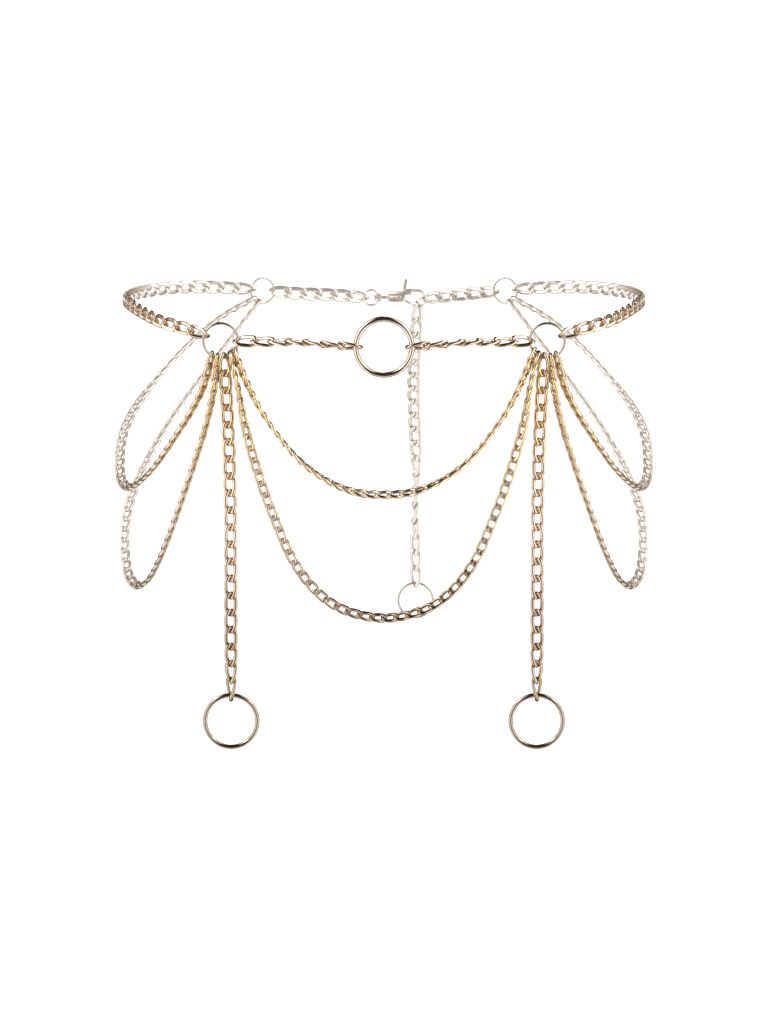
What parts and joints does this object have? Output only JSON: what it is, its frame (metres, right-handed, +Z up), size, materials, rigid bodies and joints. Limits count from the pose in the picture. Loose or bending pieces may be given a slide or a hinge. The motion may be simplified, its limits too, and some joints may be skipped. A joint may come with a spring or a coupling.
{
  "type": "waist chain",
  "caption": "Curb chain worn round the waist, with ring joints, two hanging ring-ended drops, layered front swags and hip loops, a hook clasp and a tail.",
  "frame": {"origin": "middle of the waist that the chain is worn on, at the height where the waist carries it", "axes": "+Z up, -Y to the wearer's front where the centre ring lies, +X to the right as seen from the front"},
  "size_m": [0.31, 0.2784, 0.2541],
  "materials": {
    "curb_gold": "polished gold-tone plating on bent round wire, with fine handling scratches",
    "fine_gold": "polished gold-tone plating on fine bent wire",
    "ring_gold": "smooth bright gold-tone plating with faint scratches",
    "clasp_gold": "cast and polished pale gold-tone plating, duller in its corners"
  },
  "bodies": {
    "chain": {"centre_ring": "ring_gold", "front_chain_left": "curb_gold", "front_chain_right": "curb_gold", "front_ring_left": "ring_gold", "front_ring_right": "ring_gold", "side_chain_left": "curb_gold", "side_chain_right": "curb_gold", "back_ring_left": "ring_gold", "back_ring_right": "ring_gold", "back_chain_left": "curb_gold", "back_chain_right": "curb_gold", "clasp_body": "clasp_gold", "clasp_pin": "clasp_gold", "clasp_swivel": "clasp_gold", "tail_chain": "curb_gold", "drop_chain_left": "curb_gold", "drop_chain_right": "curb_gold", "upper_swag": "fine_gold", "lower_swag": "fine_gold", "upper_loop_left": "fine_gold", "upper_loop_right": "fine_gold", "lower_loop_left": "fine_gold", "lower_loop_right": "fine_gold"},
    "gate": {"clasp_gate": "clasp_gold"},
    "left_drop_ring": {"drop_ring_left": "ring_gold"},
    "right_drop_ring": {"drop_ring_right": "ring_gold"},
    "end_ring": {"tail_ring": "ring_gold"}
  },
  "joints": [
    {"name": "gate_turn", "type": "hinge", "parent": "chain", "child": "gate", "pos_m": [0.0084, 0.1, 0.0041], "axis": [0, -1, 0], "range_deg": [0, 25]},
    {"name": "left_drop_ring_swing", "type": "hinge", "parent": "chain", "child": "left_drop_ring", "pos_m": [-0.08606, -0.09, -0.20641], "axis": [1, 0, 0], "range_deg": [-60, 60]},
    {"name": "right_drop_ring_swing", "type": "hinge", "parent": "chain", "child": "right_drop_ring", "pos_m": [0.08606, -0.09, -0.20641], "axis": [1, 0, 0], "range_deg": [-60, 60]},
    {"name": "end_ring_swing", "type": "hinge", "parent": "chain", "child": "end_ring", "pos_m": [0.0189, 0.157, -0.17115], "axis": [1, 0, 0], "range_deg": [-60, 60]}
  ]
}
